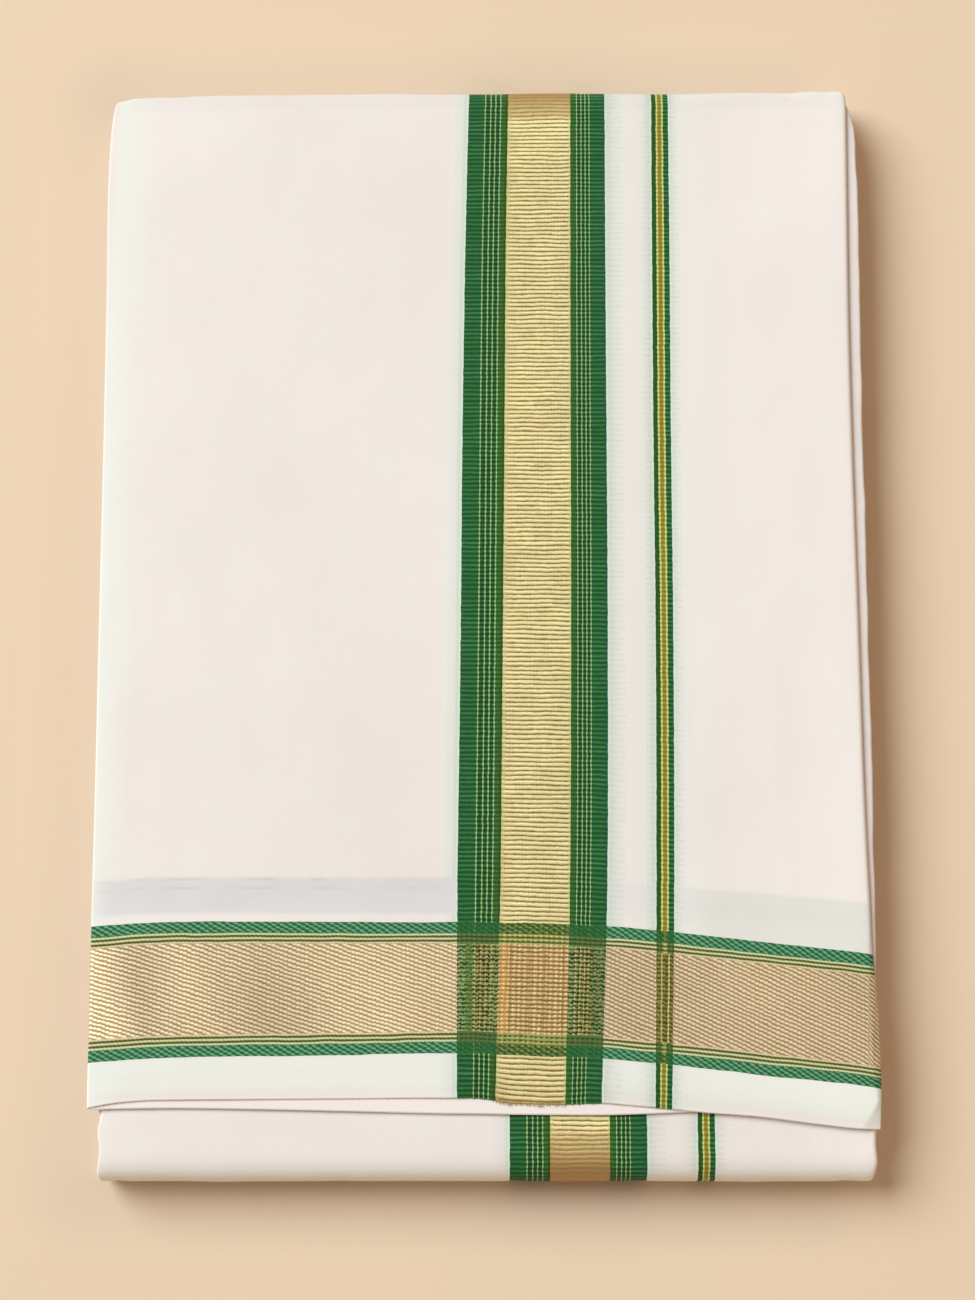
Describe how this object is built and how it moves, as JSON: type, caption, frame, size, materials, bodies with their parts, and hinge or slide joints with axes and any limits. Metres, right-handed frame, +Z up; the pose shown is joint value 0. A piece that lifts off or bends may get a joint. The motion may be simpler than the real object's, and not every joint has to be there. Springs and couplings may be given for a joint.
{
  "type": "folded dhoti cloth",
  "caption": "White cotton dhoti cloth folded into a flat pack, with a woven green and gold side border, a narrow stripe and a gold end band.",
  "frame": {"origin": "middle of the folded pack's footprint, on the surface it lies on", "axes": "+Z up, +Y along the pack's long side towards the fold that the front leaf comes round, +X to the right seen from above"},
  "size_m": [0.3087, 0.446, 0.0245],
  "materials": {
    "bordered_cotton": "plain-weave cotton with woven green and gold borders, matt with a metallic thread sheen in the gold",
    "folded_layers": "plain-weave white cotton, matt, seen as stacked folded edges"
  },
  "bodies": {
    "root": {"front_leaf": "bordered_cotton", "top_fold": "bordered_cotton", "under_stretch": "bordered_cotton", "lower_fold": "bordered_cotton", "folded_core": "folded_layers"}
  },
  "joints": []
}
